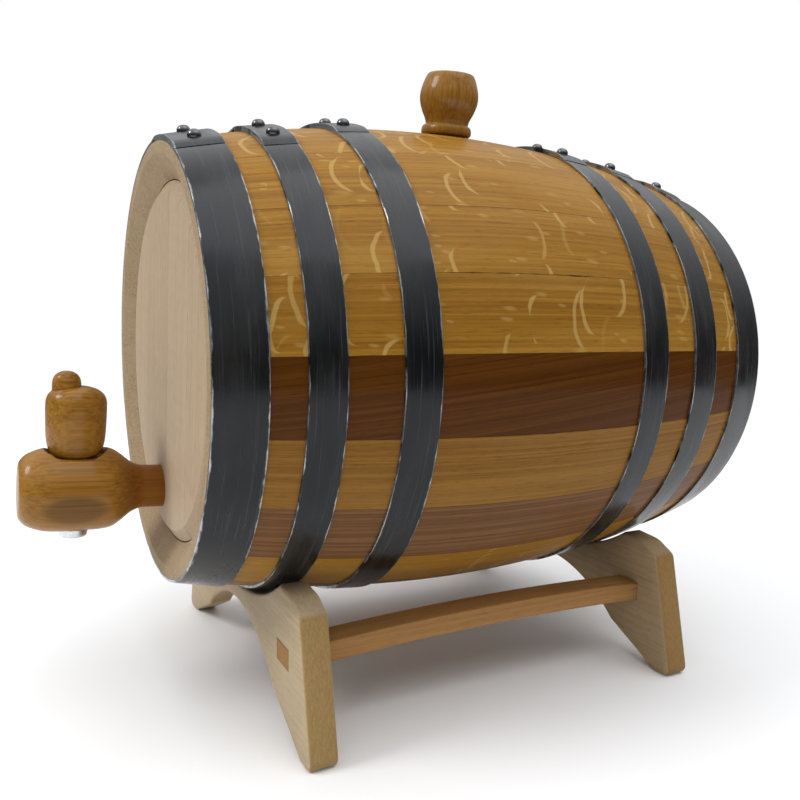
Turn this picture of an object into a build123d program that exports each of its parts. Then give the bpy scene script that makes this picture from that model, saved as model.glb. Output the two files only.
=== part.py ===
from build123d import *
import math
import os

# Five-litre oak ageing barrel with a wooden tap and bung, lying on a two-plate cradle stand.
# Millimetres, +Z up. The barrel's axis runs along Y and its tap end faces -Y.
# The origin is on the floor, at the centre of the whole object's footprint.

# ---- driving dimensions: barrel ----
HALF_LENGTH = 131.5          # barrel centre to the end of the staves
BILGE_RADIUS = 107.2         # outside of the staves at the middle
END_RADIUS = 91.4            # outside of the staves at their ends
AXIS_HEIGHT = 146.0          # floor to barrel axis
BARREL_ROLL = 7.0            # how far the bung lies turned from the top, towards +X
INNER_BILGE_RADIUS = 92.0    # inside of the staves at the middle
INNER_END_RADIUS = 76.8      # inside of the staves where the chime bevel starts
CHIME_LAND = 5.0             # flat ring left on the stave ends
CHIME_BEVEL_DEPTH = 6.5      # how deep the bevel inside the chime runs
# Seams between staves, degrees from the top towards +X; the bung's stave comes first.
SEAM_ANGLES = [-3, 16, 34, 52, 68, 84.5, 101.5, 118, 135, 152, 169,
               187, 204, 221, 238, 255, 272, 290, 307, 324, 340]

# ---- driving dimensions: heads ----
HEAD_FACE = 128.0            # barrel centre to the outer face of a head
HEAD_THICKNESS = 12.0
HEAD_RADIUS = 76.4
HEAD_CHAMFER_WIDTH = 4.9     # chamfer round the outer face of a head
HEAD_CHAMFER_DEPTH = 3.2
CROZE_WIDTH = 5.0            # groove round the staves that holds the head
CROZE_RADIUS = 82.2
TONGUE_RADIUS = 82.0
TONGUE_WIDTH = 4.7
HEAD_JOINTS = [-37.0, 5.0, 41.0]
DOWEL_RADIUS = 2.5
DOWEL_LENGTH = 22.0
DOWEL_HEIGHTS = [-30.0, 30.0]

# ---- driving dimensions: hoops ----
# Each has its two edges along the axis from the barrel centre, then the angle of its lap from the top.
HOOP_THICKNESS = 1.1
HOOPS = {
    "front_chime_hoop": (-HALF_LENGTH, -112.8, 14.5),
    "front_quarter_hoop": (-100.1, -86.5, 18.0),
    "front_bilge_hoop": (-65.8, -51.6, 10.5),
    "rear_bilge_hoop": (45.2, 59.5, 14.5),
    "rear_quarter_hoop": (78.3, 93.8, 13.0),
    "rear_chime_hoop": (111.9, HALF_LENGTH, 12.0),
}
LAP_SPREAD = 12.0            # half the angle over which a hoop overlaps itself
RIVET_SPREAD = 5.5           # half the angle between its two rivets
RIVET_RADIUS = 2.8
RIVET_HEIGHT = 2.4
RIVET_SHANK_RADIUS = 1.4

# ---- driving dimensions: bung ----
BUNG_Y = 1.3
BUNG_FIT = 0.3
BUNG_PLUG_TOP_RADIUS = 9.4
BUNG_PLUG_END_RADIUS = 8.2
BUNG_PLUG_LENGTH = 22.0
BUNG_FLANGE_RADIUS = 11.8
BUNG_FLANGE_HEIGHT = 4.6
BUNG_NECK_RADIUS = 9.9
BUNG_BELLY_RADIUS = 13.7
BUNG_BELLY_HEIGHT = 16.2
BUNG_TOP_RADIUS = 9.8
BUNG_HEIGHT = 27.6

# ---- driving dimensions: tap (its own frame: X across, Y outward along the stem, Z up the key) ----
TAP_DROP = 57.3              # barrel axis to the stem, measured down the head
TAP_ROLL = 11.7              # how far the stem lies turned from the bottom, towards -X
TAP_TILT = 3.0               # how far the tap's nose points up
STEM_RADIUS = 9.4
STEM_INNER_LENGTH = 20.0     # stem behind the head's outer face
STEM_OUTER_LENGTH = 13.5
TAP_BODY_START = 21.6        # outer face of the head to the full-width part of the body
TAP_BODY_END = 58.8
TAP_BODY_RADIUS = 18.2
TAP_END_ROUND = 7.0
STEM_BORE_RADIUS = 3.0
KEY_DISTANCE = 36.4          # outer face of the head to the key's axis
KEY_SEAT_HEIGHT = 14.0       # flat cut on top of the body, under the key
KEY_SEAT_RADIUS = 12.8
LINER_TOP_RADIUS = 8.2
LINER_END_RADIUS = 7.2
KEY_TOP_RADIUS = 6.4
KEY_END_RADIUS = 5.4
KEY_FIT = 0.05
KEY_HEAD_RADIUS = 12.3
KEY_HEAD_HEIGHT = 30.0
FINIAL_RADIUS = 5.8
FINIAL_HEIGHT = 6.2
FINIAL_OFFSET = 4.1
KEY_PORT_RADIUS = 2.5
FERRULE_RADIUS = 5.9
FERRULE_HEIGHT = 4.0

# ---- driving dimensions: stand ----
PLATE_INNER = 84.5           # barrel centre to the inner face of an end plate
PLATE_THICKNESS = 12.0
CRADLE_RADIUS = 102.2
HORN_DROP = 84.0             # barrel axis to the top of a horn
HORN_HALF_WIDTH = 71.0
SHOULDER_HALF_WIDTH = 81.0
SHOULDER_DROP = 90.0
FOOT_HALF_WIDTH = 94.0
FOOT_INNER = 83.0
ARCH_FOOT = 52.0
ARCH_FOOT_HEIGHT = 14.5
ARCH_HEIGHT = 35.0
PLATE_ROUND = 4.0
RAIL_X = 63.2
RAIL_WIDTH = 13.5
RAIL_HEIGHT = 8.6
RAIL_DROP = 111.0
RAIL_BOW = 2.5

# ---- worked out ----
TAP_REACH = HEAD_FACE + TAP_BODY_END * math.cos(math.radians(TAP_TILT))
CENTRE_Y = (TAP_REACH - HALF_LENGTH) / 2
BUNG_SEAT = BILGE_RADIUS + 0.3

nodes = {}


def closed_face(pieces):
    """Flat face inside an outline given as lines, arcs and splines in order."""
    return make_face(Wire([edge for piece in pieces for edge in piece.edges()]))


def revolve_y(pieces, start=0.0, sweep=360.0):
    """Turn a closed outline in the Y-Z plane round the Y axis, from start degrees right of the top."""
    solid = revolve(closed_face(pieces), axis=Axis.Y, revolution_arc=sweep)
    return solid.rotate(Axis.Y, start)


def flat(points):
    """Closed outline in the Y-Z plane from (along, radius) pairs."""
    return [Polyline([(0, a, r) for a, r in points], close=True)]


def arc_radius(middle_radius, end_radius, end_along, along):
    """Radius at a place along the barrel of the arc through its middle and its ends."""
    rise = middle_radius - end_radius
    big = (end_along ** 2 + rise ** 2) / (2 * rise)
    return middle_radius - big + math.sqrt(big ** 2 - along ** 2)


def outer_radius(along):
    return arc_radius(BILGE_RADIUS, END_RADIUS, HALF_LENGTH, along)


def place_barrel(solid):
    """From the barrel's own frame, bung up and axis at the origin, to the row's frame."""
    return solid.rotate(Axis.Y, BARREL_ROLL).moved(Location((0, CENTRE_Y, AXIS_HEIGHT)))


def place_stand(solid):
    return solid.moved(Location((0, CENTRE_Y, AXIS_HEIGHT)))


def place_tap(solid):
    """From the tap's frame to the row's frame: nose towards -Y, tilted up, key upright."""
    turned = solid.rotate(Axis.Z, 180).rotate(Axis.X, -TAP_TILT)
    x = -TAP_DROP * math.sin(math.radians(TAP_ROLL))
    z = AXIS_HEIGHT - TAP_DROP * math.cos(math.radians(TAP_ROLL))
    return turned.moved(Location((x, CENTRE_Y - HEAD_FACE, z)))


def barrel_shell(start, sweep):
    """One stave: barrel arc outside, arc inside, bevelled chimes and croze grooves."""
    chime = HALF_LENGTH - CHIME_BEVEL_DEPTH
    land = END_RADIUS - CHIME_LAND
    edges = [
        ThreePointArc((0, -HALF_LENGTH, END_RADIUS), (0, 0, BILGE_RADIUS), (0, HALF_LENGTH, END_RADIUS)),
        Polyline((0, HALF_LENGTH, END_RADIUS), (0, HALF_LENGTH, land), (0, chime, INNER_END_RADIUS)),
        ThreePointArc((0, chime, INNER_END_RADIUS), (0, 0, INNER_BILGE_RADIUS),
                      (0, -chime, INNER_END_RADIUS)),
        Polyline((0, -chime, INNER_END_RADIUS), (0, -HALF_LENGTH, land), (0, -HALF_LENGTH, END_RADIUS)),
    ]
    stave = revolve_y(edges, start, sweep)
    middle = HEAD_FACE - HEAD_THICKNESS / 2
    for side in (-1, 1):
        lo = side * middle - CROZE_WIDTH / 2
        hi = side * middle + CROZE_WIDTH / 2
        groove = revolve_y(flat([(lo, 60), (hi, 60), (hi, CROZE_RADIUS), (lo, CROZE_RADIUS)]))
        stave = stave - groove
    return stave


def bung_solid():
    """Turned knob and tapered plug, standing on the bilge in the barrel's own frame."""
    up = [
        Polyline((0, 0, -BUNG_PLUG_LENGTH), (BUNG_PLUG_END_RADIUS, 0, -BUNG_PLUG_LENGTH),
                 (BUNG_PLUG_TOP_RADIUS, 0, 0), (BUNG_FLANGE_RADIUS - 0.8, 0, 0)),
        ThreePointArc((BUNG_FLANGE_RADIUS - 0.8, 0, 0), (BUNG_FLANGE_RADIUS, 0, BUNG_FLANGE_HEIGHT / 2),
                      (BUNG_NECK_RADIUS, 0, BUNG_FLANGE_HEIGHT)),
        Spline((BUNG_NECK_RADIUS, 0, BUNG_FLANGE_HEIGHT), (BUNG_BELLY_RADIUS, 0, BUNG_BELLY_HEIGHT),
               (BUNG_TOP_RADIUS + 1.6, 0, BUNG_HEIGHT - 1.8), (BUNG_TOP_RADIUS, 0, BUNG_HEIGHT)),
        Polyline((BUNG_TOP_RADIUS, 0, BUNG_HEIGHT), (0, 0, BUNG_HEIGHT), (0, 0, -BUNG_PLUG_LENGTH)),
    ]
    solid = revolve(closed_face(up), axis=Axis.Z)
    return solid.moved(Location((0, BUNG_Y, BUNG_SEAT)))


def bung_hole():
    """Tapered hole a fit's width larger than the plug, long enough to cut right through a stave."""
    slope = (BUNG_PLUG_TOP_RADIUS - BUNG_PLUG_END_RADIUS) / BUNG_PLUG_LENGTH
    below = 30.0
    above = 8.0
    low = BUNG_PLUG_TOP_RADIUS + BUNG_FIT - slope * below
    high = BUNG_PLUG_TOP_RADIUS + BUNG_FIT + slope * above
    cone = Solid.make_cone(low, high, below + above)
    return cone.moved(Location((0, BUNG_Y, BUNG_SEAT - below)))


# ---- staves ----
for i, angle in enumerate(SEAM_ANGLES):
    following = SEAM_ANGLES[(i + 1) % len(SEAM_ANGLES)]
    sweep = (following - angle) % 360
    stave = barrel_shell(angle - BARREL_ROLL, sweep)
    if i == 0:
        stave = stave - bung_hole()
    nodes[f"stave_{i + 1:02d}"] = place_barrel(stave)


# ---- hoops and their rivets ----
def rivet(along, angle):
    """Domed head on a shank that goes through both ends of the hoop."""
    top = outer_radius(along) + 2 * HOOP_THICKNESS
    sphere_radius = (RIVET_RADIUS ** 2 + RIVET_HEIGHT ** 2) / (2 * RIVET_HEIGHT)
    dome = Sphere(sphere_radius).moved(Location((0, 0, RIVET_HEIGHT - sphere_radius)))
    cut = Cylinder(RIVET_RADIUS + 1, 2 * sphere_radius, align=(Align.CENTER, Align.CENTER, Align.MIN))
    head = dome & cut
    shank_length = 2 * HOOP_THICKNESS - 0.1
    shank = Cylinder(RIVET_SHANK_RADIUS, shank_length, align=(Align.CENTER, Align.CENTER, Align.MAX))
    slope = math.degrees(math.atan2(outer_radius(along - 1) - outer_radius(along + 1), 2))
    return (head + shank).rotate(Axis.X, -slope).moved(Location((0, along, top))).rotate(Axis.Y, angle)


for name, (lo, hi, lap_angle) in HOOPS.items():
    middle = (lo + hi) / 2
    lap_middle = lap_angle - BARREL_ROLL

    def band(inner, outer):
        """Outline of a strip lying on the staves between two heights above them."""
        radii = [outer_radius(a) for a in (lo, middle, hi)]
        points = [(0, a, r) for a, r in zip((lo, middle, hi), radii)]
        low = [(0, p[1], p[2] + inner) for p in points]
        high = [(0, p[1], p[2] + outer) for p in points]
        ends = Line(low[2], high[2]), Line(high[0], low[0])
        return [ThreePointArc(*low), ends[0], ThreePointArc(*high[::-1]), ends[1]]

    ring = revolve_y(band(0, HOOP_THICKNESS))
    lap = revolve_y(band(HOOP_THICKNESS * 0.9, 2 * HOOP_THICKNESS), lap_middle - LAP_SPREAD, 2 * LAP_SPREAD)
    rivets = [rivet(middle, lap_middle + turn) for turn in (-RIVET_SPREAD, RIVET_SPREAD)]
    hoop = ring + lap
    for r in rivets:
        hoop = hoop - r
    nodes[name] = place_barrel(hoop)
    nodes[name + "_rivets"] = place_barrel(Compound([Solid(r.solids()[0].wrapped) for r in rivets]))


# ---- heads ----
def head_disc(side):
    inner = HEAD_FACE - HEAD_THICKNESS
    middle = HEAD_FACE - HEAD_THICKNESS / 2
    back = side * inner
    face = side * HEAD_FACE
    edge = side * (HEAD_FACE - HEAD_CHAMFER_DEPTH)
    body = flat([(back, 0), (back, HEAD_RADIUS), (edge, HEAD_RADIUS),
                 (face, HEAD_RADIUS - HEAD_CHAMFER_WIDTH), (face, 0)])
    lo = side * middle - TONGUE_WIDTH / 2
    hi = side * middle + TONGUE_WIDTH / 2
    tongue = flat([(lo, 40), (hi, 40), (hi, TONGUE_RADIUS), (lo, TONGUE_RADIUS)])
    return revolve_y(body) + revolve_y(tongue)


def tap_stem_cut():
    """The stem's space in the front head, in the row's frame."""
    length = STEM_INNER_LENGTH + STEM_OUTER_LENGTH + 10
    stem = Cylinder(STEM_RADIUS, length, rotation=(90, 0, 0))
    return place_tap(stem)


for end, side in (("front", -1), ("rear", 1)):
    disc = head_disc(side)
    middle = side * (HEAD_FACE - HEAD_THICKNESS / 2)
    dowels = []
    for x in HEAD_JOINTS:
        for z in DOWEL_HEIGHTS:
            dowel = Cylinder(DOWEL_RADIUS, DOWEL_LENGTH, rotation=(0, 90, 0))
            dowels.append(dowel.moved(Location((x, middle, z))))
    limits = [-TONGUE_RADIUS - 1] + HEAD_JOINTS + [TONGUE_RADIUS + 1]
    for i in range(len(limits) - 1):
        width = limits[i + 1] - limits[i]
        centre = (limits[i + 1] + limits[i]) / 2
        slab = Box(width, 40, 400).moved(Location((centre, middle, 0)))
        board = disc & slab
        for dowel in dowels:
            board = board - dowel
        board = place_barrel(board)
        if end == "front":
            board = board - tap_stem_cut()
        nodes[f"{end}_head_board_{i + 1}"] = board
    nodes[f"{end}_head_dowels"] = place_barrel(Compound([Solid(d.solids()[0].wrapped) for d in dowels]))


# ---- tap ----
def cone_down(top_radius, end_radius, top, end):
    """Tapered plug round the key's axis, in the tap's frame, from height top down to height end."""
    cone = Solid.make_cone(end_radius, top_radius, top - end)
    return cone.moved(Location((0, KEY_DISTANCE, end)))


def tap_body():
    shape = [
        Polyline((0, -STEM_INNER_LENGTH, 0), (0, -STEM_INNER_LENGTH, STEM_RADIUS),
                 (0, STEM_OUTER_LENGTH, STEM_RADIUS)),
        Spline((0, STEM_OUTER_LENGTH, STEM_RADIUS), (0, TAP_BODY_START, TAP_BODY_RADIUS - 1.6),
               (0, (TAP_BODY_START + TAP_BODY_END) / 2, TAP_BODY_RADIUS),
               tangents=[(0, 1, 0), (0, 1, 0)]),
        Spline((0, (TAP_BODY_START + TAP_BODY_END) / 2, TAP_BODY_RADIUS),
               (0, TAP_BODY_END - TAP_END_ROUND * 0.45, TAP_BODY_RADIUS - 4.2),
               (0, TAP_BODY_END, TAP_BODY_RADIUS - TAP_END_ROUND),
               tangents=[(0, 1, 0), (0, 0.05, -1)]),
        Polyline((0, TAP_BODY_END, TAP_BODY_RADIUS - TAP_END_ROUND), (0, TAP_BODY_END, 0),
                 (0, -STEM_INNER_LENGTH, 0)),
    ]
    body = revolve(closed_face(shape), axis=Axis.Y)
    seat = Cylinder(KEY_SEAT_RADIUS, 20, align=(Align.CENTER, Align.CENTER, Align.MIN))
    body = body - seat.moved(Location((0, KEY_DISTANCE, KEY_SEAT_HEIGHT)))
    body = body - cone_down(LINER_TOP_RADIUS, LINER_END_RADIUS, KEY_SEAT_HEIGHT, -TAP_BODY_RADIUS - 1)
    bore = Cylinder(STEM_BORE_RADIUS, STEM_INNER_LENGTH + KEY_DISTANCE, rotation=(90, 0, 0))
    middle = (KEY_DISTANCE - STEM_INNER_LENGTH) / 2
    return body - bore.moved(Location((0, middle, 0)))


def tap_liner():
    """Cork sleeve between the body and the key, pierced where the stem's bore meets it."""
    top = KEY_SEAT_HEIGHT
    end = -TAP_BODY_RADIUS + 1.2
    full = TAP_BODY_RADIUS + 1 + KEY_SEAT_HEIGHT
    rate = (LINER_TOP_RADIUS - LINER_END_RADIUS) / full
    outer = cone_down(LINER_TOP_RADIUS, LINER_TOP_RADIUS - rate * (top - end), top, end)
    inner = cone_down(KEY_TOP_RADIUS + KEY_FIT, KEY_END_RADIUS + KEY_FIT, top, end)
    port = Cylinder(STEM_BORE_RADIUS, 2 * LINER_TOP_RADIUS, rotation=(90, 0, 0))
    return outer - inner - port.moved(Location((0, KEY_DISTANCE - LINER_TOP_RADIUS, 0)))


def tap_key():
    """Turned handle with an off-centre finial, and a tapered plug with the valve passage in it."""
    base = KEY_SEAT_HEIGHT + 0.3
    top = base + KEY_HEAD_HEIGHT
    shape = [
        Polyline((0, 0, base), (KEY_HEAD_RADIUS - 3.3, 0, base)),
        Spline((KEY_HEAD_RADIUS - 3.3, 0, base), (KEY_HEAD_RADIUS - 0.6, 0, base + 5),
               (KEY_HEAD_RADIUS, 0, base + KEY_HEAD_HEIGHT * 0.62),
               (KEY_HEAD_RADIUS - 1.0, 0, top - 4.0), (FINIAL_RADIUS + 1.5, 0, top)),
        Polyline((FINIAL_RADIUS + 1.5, 0, top), (0, 0, top), (0, 0, base)),
    ]
    head = revolve(closed_face(shape), axis=Axis.Z)
    stalk = Cylinder(FINIAL_RADIUS, FINIAL_HEIGHT - 1.0, align=(Align.CENTER, Align.CENTER, Align.MIN))
    stalk = stalk.moved(Location((0, FINIAL_OFFSET, top - 4.8)))
    ball = Sphere(FINIAL_RADIUS).moved(Location((0, FINIAL_OFFSET, top + FINIAL_HEIGHT - FINIAL_RADIUS)))
    key = (head + stalk + ball).moved(Location((0, KEY_DISTANCE, 0)))
    end = -TAP_BODY_RADIUS + 1.2
    key = key + cone_down(KEY_TOP_RADIUS, KEY_END_RADIUS, KEY_SEAT_HEIGHT, end)
    collar = Cylinder(KEY_TOP_RADIUS, 2.0)
    key = key + collar.moved(Location((0, KEY_DISTANCE, KEY_SEAT_HEIGHT + 1.0)))
    across = Cylinder(KEY_PORT_RADIUS, 2 * KEY_TOP_RADIUS, rotation=(90, 0, 0))
    down = Cylinder(KEY_PORT_RADIUS, 40, align=(Align.CENTER, Align.CENTER, Align.MAX))
    key = key - across.moved(Location((0, KEY_DISTANCE - KEY_TOP_RADIUS, 0)))
    return key - down.moved(Location((0, KEY_DISTANCE, 0)))


def tap_ferrule():
    """Metal spout ring on the lower end of the key."""
    end = -TAP_BODY_RADIUS + 1.2
    ring = Cylinder(FERRULE_RADIUS, FERRULE_HEIGHT, align=(Align.CENTER, Align.CENTER, Align.MAX))
    ring = fillet(ring.edges().group_by(Axis.Z)[0], 1.2)
    hole_through = Cylinder(KEY_PORT_RADIUS, 3 * FERRULE_HEIGHT)
    return (ring - hole_through).moved(Location((0, KEY_DISTANCE, end)))


nodes["tap_body"] = place_tap(tap_body())
nodes["tap_cork_liner"] = place_tap(tap_liner())
nodes["tap_key"] = place_tap(tap_key())
nodes["tap_spout_ferrule"] = place_tap(tap_ferrule())
nodes["bung"] = place_barrel(bung_solid())


# ---- stand ----
def rail(side):
    """Bowed side rail whose straight ends are tenons through both plates."""
    inner = PLATE_INNER
    outer = PLATE_INNER + PLATE_THICKNESS
    top = -RAIL_DROP + RAIL_HEIGHT / 2
    low = -RAIL_DROP - RAIL_HEIGHT / 2
    x = side * RAIL_X - RAIL_WIDTH / 2
    edges = [
        Line((x, -outer, top), (x, -inner, top)),
        ThreePointArc((x, -inner, top), (x, 0, top + RAIL_BOW), (x, inner, top)),
        Polyline((x, inner, top), (x, outer, top), (x, outer, low), (x, inner, low)),
        ThreePointArc((x, inner, low), (x, 0, low + RAIL_BOW), (x, -inner, low)),
        Polyline((x, -inner, low), (x, -outer, low), (x, -outer, top)),
    ]
    return extrude(closed_face(edges), RAIL_WIDTH, dir=(1, 0, 0))


def plate(side):
    """End plate: cradle arc, rounded horns, spreading legs, arch below and a slot for each tenon."""
    horn_x = math.sqrt(CRADLE_RADIUS ** 2 - HORN_DROP ** 2)
    floor = -AXIS_HEIGHT
    right = [(horn_x, -HORN_DROP), (HORN_HALF_WIDTH, -HORN_DROP - 1.0), (SHOULDER_HALF_WIDTH, -SHOULDER_DROP),
             (FOOT_HALF_WIDTH, floor), (FOOT_INNER, floor), (ARCH_FOOT, floor + ARCH_FOOT_HEIGHT)]
    left = [(-x, z) for x, z in right]
    y = side * (PLATE_INNER + PLATE_THICKNESS) if side < 0 else PLATE_INNER
    edges = [
        ThreePointArc((-horn_x, y, -HORN_DROP), (0, y, -CRADLE_RADIUS), (horn_x, y, -HORN_DROP)),
        Polyline([(x, y, z) for x, z in right]),
        ThreePointArc((ARCH_FOOT, y, right[-1][1]), (0, y, floor + ARCH_HEIGHT),
                      (-ARCH_FOOT, y, left[-1][1])),
        Polyline([(x, y, z) for x, z in left[::-1]]),
    ]
    board = extrude(closed_face(edges), PLATE_THICKNESS, dir=(0, 1, 0))
    along = board.edges().filter_by(Axis.Y)
    corners = [e for e in along if abs(e.center().X) > SHOULDER_HALF_WIDTH - 3]
    board = fillet(corners, PLATE_ROUND)
    for rail_side in (-1, 1):
        board = board - rail(rail_side)
    return board


nodes["front_cradle"] = place_stand(plate(-1))
nodes["rear_cradle"] = place_stand(plate(1))
nodes["right_rail"] = place_stand(rail(1))
nodes["left_rail"] = place_stand(rail(-1))

os.makedirs("parts", exist_ok=True)
for name, shape in nodes.items():
    export_step(shape, f"parts/{name}.step")
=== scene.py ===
import math

import bmesh
import bpy
from mathutils import Matrix, Vector, noise


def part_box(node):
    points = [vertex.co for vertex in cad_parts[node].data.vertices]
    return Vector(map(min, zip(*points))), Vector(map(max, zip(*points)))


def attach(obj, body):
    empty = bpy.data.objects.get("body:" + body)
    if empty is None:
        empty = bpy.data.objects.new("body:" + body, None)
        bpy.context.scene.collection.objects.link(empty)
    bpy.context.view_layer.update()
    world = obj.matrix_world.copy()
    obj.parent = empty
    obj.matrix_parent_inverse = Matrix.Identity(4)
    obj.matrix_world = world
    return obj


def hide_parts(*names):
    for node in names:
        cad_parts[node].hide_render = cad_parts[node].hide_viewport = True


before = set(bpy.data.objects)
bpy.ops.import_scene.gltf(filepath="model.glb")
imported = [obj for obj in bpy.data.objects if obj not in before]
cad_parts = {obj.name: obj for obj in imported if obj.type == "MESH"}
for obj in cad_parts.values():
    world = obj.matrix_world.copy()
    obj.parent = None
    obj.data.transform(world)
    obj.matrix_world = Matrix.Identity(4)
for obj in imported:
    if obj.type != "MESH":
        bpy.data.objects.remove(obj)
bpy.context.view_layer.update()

MM = 0.001

# ---- sizes, in millimetres, as the CAD has them ----
SEAM_ANGLES = [-3, 16, 34, 52, 68, 84.5, 101.5, 118, 135, 152, 169,
               187, 204, 221, 238, 255, 272, 290, 307, 324, 340]
BARREL_ROLL = 7.0
BILGE_RADIUS = 107.2
END_RADIUS = 91.4
INNER_BILGE_RADIUS = 92.0
INNER_END_RADIUS = 76.8
CHIME_LAND = 5.0
CHIME_BEVEL_DEPTH = 6.5
HOOP_THICKNESS = 1.1
LAP_ANGLES = {"front_chime_hoop": 14.5, "front_quarter_hoop": 18.0, "front_bilge_hoop": 10.5,
              "rear_bilge_hoop": 14.5, "rear_quarter_hoop": 13.0, "rear_chime_hoop": 12.0}
LAP_SPREAD = 12.0
RIVET_SPREAD = 5.5
HEAD_FACE = 128.0
HEAD_THICKNESS = 12.0
HEAD_RADIUS = 76.4
HEAD_CHAMFER_WIDTH = 4.9
HEAD_CHAMFER_DEPTH = 3.2
HEAD_JOINTS = [-37.0, 5.0, 41.0]
BUNG_Y = 1.3
TAP_DROP = 57.3
TAP_ROLL = 11.7
TAP_TILT = 3.0
KEY_DISTANCE = 36.4
KEY_SEAT_HEIGHT = 14.0
KEY_SEAT_RADIUS = 12.8
KEY_HEAD_HEIGHT = 30.0
FINIAL_OFFSET = 4.1
FERRULE_TOP = -17.0
TAP_BODY_START = 21.6           # where the stem has widened to the body
TAP_OVAL_MIDDLE = (37.5, -6.0)  # the worn oval: outward along the stem, and up
TAP_OVAL_SIZE = (12.5, 6.5)

# ---- places read from the frame ----
stave_low, stave_high = (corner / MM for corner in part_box("stave_01"))
HALF_LENGTH = (stave_high.y - stave_low.y) / 2
CENTRE_Y = (stave_high.y + stave_low.y) / 2
hoop_low, hoop_high = (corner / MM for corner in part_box("front_bilge_hoop"))
AXIS_HEIGHT = hoop_low.z + (hoop_high.x - hoop_low.x) / 2


# ---------------------------------------------------------------- shapes
def arc_radius(middle_radius, end_radius, end_along, along):
    """Radius at a place along the barrel of the arc through its middle and its ends."""
    rise = middle_radius - end_radius
    big = (end_along ** 2 + rise ** 2) / (2 * rise)
    return middle_radius - big + math.sqrt(big ** 2 - along ** 2)


def outer_radius(along):
    return arc_radius(BILGE_RADIUS, END_RADIUS, HALF_LENGTH, along)


def skin_radius(along):
    """Outside of the staves, taken as level beyond their ends."""
    return outer_radius(max(-HALF_LENGTH, min(HALF_LENGTH, along)))


def inner_radius(along):
    """Inside of the staves: the bilge arc, then the bevel of the chime."""
    chime = HALF_LENGTH - CHIME_BEVEL_DEPTH
    if abs(along) <= chime:
        return arc_radius(INNER_BILGE_RADIUS, INNER_END_RADIUS, chime, along)
    share = (abs(along) - chime) / CHIME_BEVEL_DEPTH
    return INNER_END_RADIUS + share * (END_RADIUS - CHIME_LAND - INNER_END_RADIUS)


def barrel_point(angle, radius, along):
    """Row-frame point, in metres, from degrees right of the top, radius and place along the barrel."""
    turn = math.radians(angle)
    return Vector((radius * math.sin(turn), CENTRE_Y + along, AXIS_HEIGHT + radius * math.cos(turn))) * MM


def barrel_place(point):
    """Degrees right of the top, radius and place along the barrel, in millimetres, of a row-frame point."""
    x = point.x / MM
    z = point.z / MM - AXIS_HEIGHT
    return math.degrees(math.atan2(x, z)), math.hypot(x, z), point.y / MM - CENTRE_Y


def wobble(seed, *place):
    """Smooth noise from -1 to 1 at a place, different for each seed."""
    shift = Vector((seed * 17.3, seed * 5.1, seed * 9.7))
    return noise.noise(Vector(place + (0.0,) * (3 - len(place))) + shift)


def mesh_object(name, points, faces):
    mesh = bpy.data.meshes.new(name)
    mesh.from_pydata([tuple(p) for p in points], [], faces)
    mesh.validate()
    shell = bmesh.new()
    shell.from_mesh(mesh)
    bmesh.ops.recalc_face_normals(shell, faces=shell.faces)
    shell.to_mesh(mesh)
    shell.free()
    piece = bpy.data.objects.new(name, mesh)
    bpy.context.scene.collection.objects.link(piece)
    return piece


def apply_modifiers(piece):
    """Replaces a piece's mesh with what its modifiers make of it."""
    depsgraph = bpy.context.evaluated_depsgraph_get()
    made = bpy.data.meshes.new_from_object(piece.evaluated_get(depsgraph))
    piece.modifiers.clear()
    piece.data = made
    made.name = piece.name


def smooth_faces(piece, sharp_angle=None):
    """Shades smooth, but for edges sharper than an angle in degrees."""
    piece.data.polygons.foreach_set("use_smooth", [True] * len(piece.data.polygons))
    if sharp_angle:
        piece.data.set_sharp_from_angle(angle=math.radians(sharp_angle))


def round_edges(piece, width, segments=2, angle=32):
    """Rounds the sharp edges, in millimetres, and smooths what is left."""
    smooth_faces(piece)
    bevel = piece.modifiers.new("round", "BEVEL")
    bevel.width = width * MM
    bevel.segments = segments
    bevel.limit_method = "ANGLE"
    bevel.angle_limit = math.radians(angle)
    bevel.harden_normals = True
    bevel.use_clamp_overlap = True
    apply_modifiers(piece)


def combine(piece, other, operation):
    """Cuts other out of piece, or joins it on, and removes other."""
    boolean = piece.modifiers.new("cut", "BOOLEAN")
    boolean.operation = operation
    boolean.object = other
    boolean.solver = "EXACT"
    apply_modifiers(piece)
    bpy.data.objects.remove(other)
    piece.data.set_sharp_from_angle(angle=math.radians(38))


def loft(name, rings, closed_path=False):
    """Skin over equal closed rings of points, with flat ends unless the path is closed."""
    count = len(rings[0])
    points = [p for ring in rings for p in ring]
    faces = []
    steps = len(rings) if closed_path else len(rings) - 1
    for i in range(steps):
        a = i * count
        b = (i + 1) % len(rings) * count
        for j in range(count):
            k = (j + 1) % count
            faces.append((a + j, a + k, b + k, b + j))
    if not closed_path:
        faces.append(tuple(range(count)))
        faces.append(tuple(range((len(rings) - 1) * count, len(rings) * count)))
    return mesh_object(name, points, faces)


def turned(name, profile, place, segments=96):
    """Body of revolution round local Z from (radius, height) points in millimetres, moved by a matrix."""
    rings = []
    for radius, height in profile:
        ring = []
        for j in range(segments):
            turn = 2 * math.pi * j / segments
            ring.append(place @ (Vector((radius * math.cos(turn), radius * math.sin(turn), height)) * MM))
        rings.append(ring)
    return loft(name, rings)


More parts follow.
